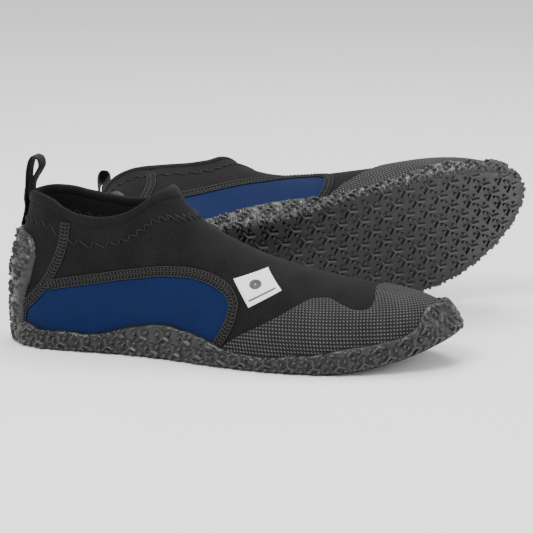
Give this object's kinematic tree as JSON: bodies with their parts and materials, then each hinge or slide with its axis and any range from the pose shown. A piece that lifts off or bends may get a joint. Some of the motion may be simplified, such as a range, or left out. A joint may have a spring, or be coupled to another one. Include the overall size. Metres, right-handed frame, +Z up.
{
  "type": "water shoes",
  "caption": "Pair of low-cut slip-on neoprene water shoes with moulded rubber soles, one standing and one on its side showing the tread.",
  "frame": {"origin": "middle of the pair's box, on the surface that it stands on", "axes": "+X the long way of the pair, roughly heel to toe; +Y from the standing shoe to the one behind it; +Z up"},
  "size_m": [0.3448, 0.2532, 0.1205],
  "materials": {
    "rubber_grey": "semi-gloss moulded rubber",
    "board": "matte fibre board",
    "foam": "matte foam with fabric face",
    "neoprene_black": "matte jersey-faced neoprene",
    "neoprene_blue": "matte ribbed jersey-faced neoprene",
    "toe_textile": "textured abrasion textile",
    "binding": "smooth neoprene",
    "seam_thread": "flatlock thread",
    "webbing": "woven polyester webbing",
    "emblem": "matte transfer"
  },
  "bodies": {
    "right_shoe": {"right_outsole": "rubber_grey", "right_insole_board": "board", "right_footbed": "foam", "right_vamp_panel": "neoprene_black", "right_heel_panel": "neoprene_black", "right_side_panel_lateral": "neoprene_blue", "right_side_panel_medial": "neoprene_blue", "right_toe_cap": "toe_textile", "right_collar_binding": "binding", "right_collar_hem": "binding", "right_panel_seam_lateral": "seam_thread", "right_panel_seam_medial": "seam_thread", "right_heel_seam_lateral": "seam_thread", "right_heel_seam_medial": "seam_thread", "right_pull_tab_base": "webbing", "right_emblem_patch": "emblem"},
    "right_tab": {"right_pull_tab_loop": "webbing"},
    "left_shoe": {"left_outsole": "rubber_grey", "left_insole_board": "board", "left_footbed": "foam", "left_vamp_panel": "neoprene_black", "left_heel_panel": "neoprene_black", "left_side_panel_lateral": "neoprene_blue", "left_side_panel_medial": "neoprene_blue", "left_toe_cap": "toe_textile", "left_collar_binding": "binding", "left_collar_hem": "binding", "left_panel_seam_lateral": "seam_thread", "left_panel_seam_medial": "seam_thread", "left_heel_seam_lateral": "seam_thread", "left_heel_seam_medial": "seam_thread", "left_pull_tab_base": "webbing", "left_emblem_patch": "emblem"},
    "left_tab": {"left_pull_tab_loop": "webbing"}
  },
  "joints": [
    {"name": "left_shoe_lift", "type": "slide", "parent": "right_shoe", "child": "left_shoe", "axis": [0, 0, 1], "range_m": [0, 0.2]},
    {"name": "right_tab_bend", "type": "hinge", "parent": "right_shoe", "child": "right_tab", "pos_m": [-0.15519, -0.02049, 0.10329], "axis": [0.2823, 0.9593, 0], "range_deg": [-45, 60], "stiffness_Nm_per_rad": 0.005},
    {"name": "left_tab_bend", "type": "hinge", "parent": "left_shoe", "child": "left_tab", "pos_m": [-0.11865, 0.10459, 0.07304], "axis": [0.0365, 0.4496, -0.8925], "range_deg": [-45, 60], "stiffness_Nm_per_rad": 0.005}
  ]
}
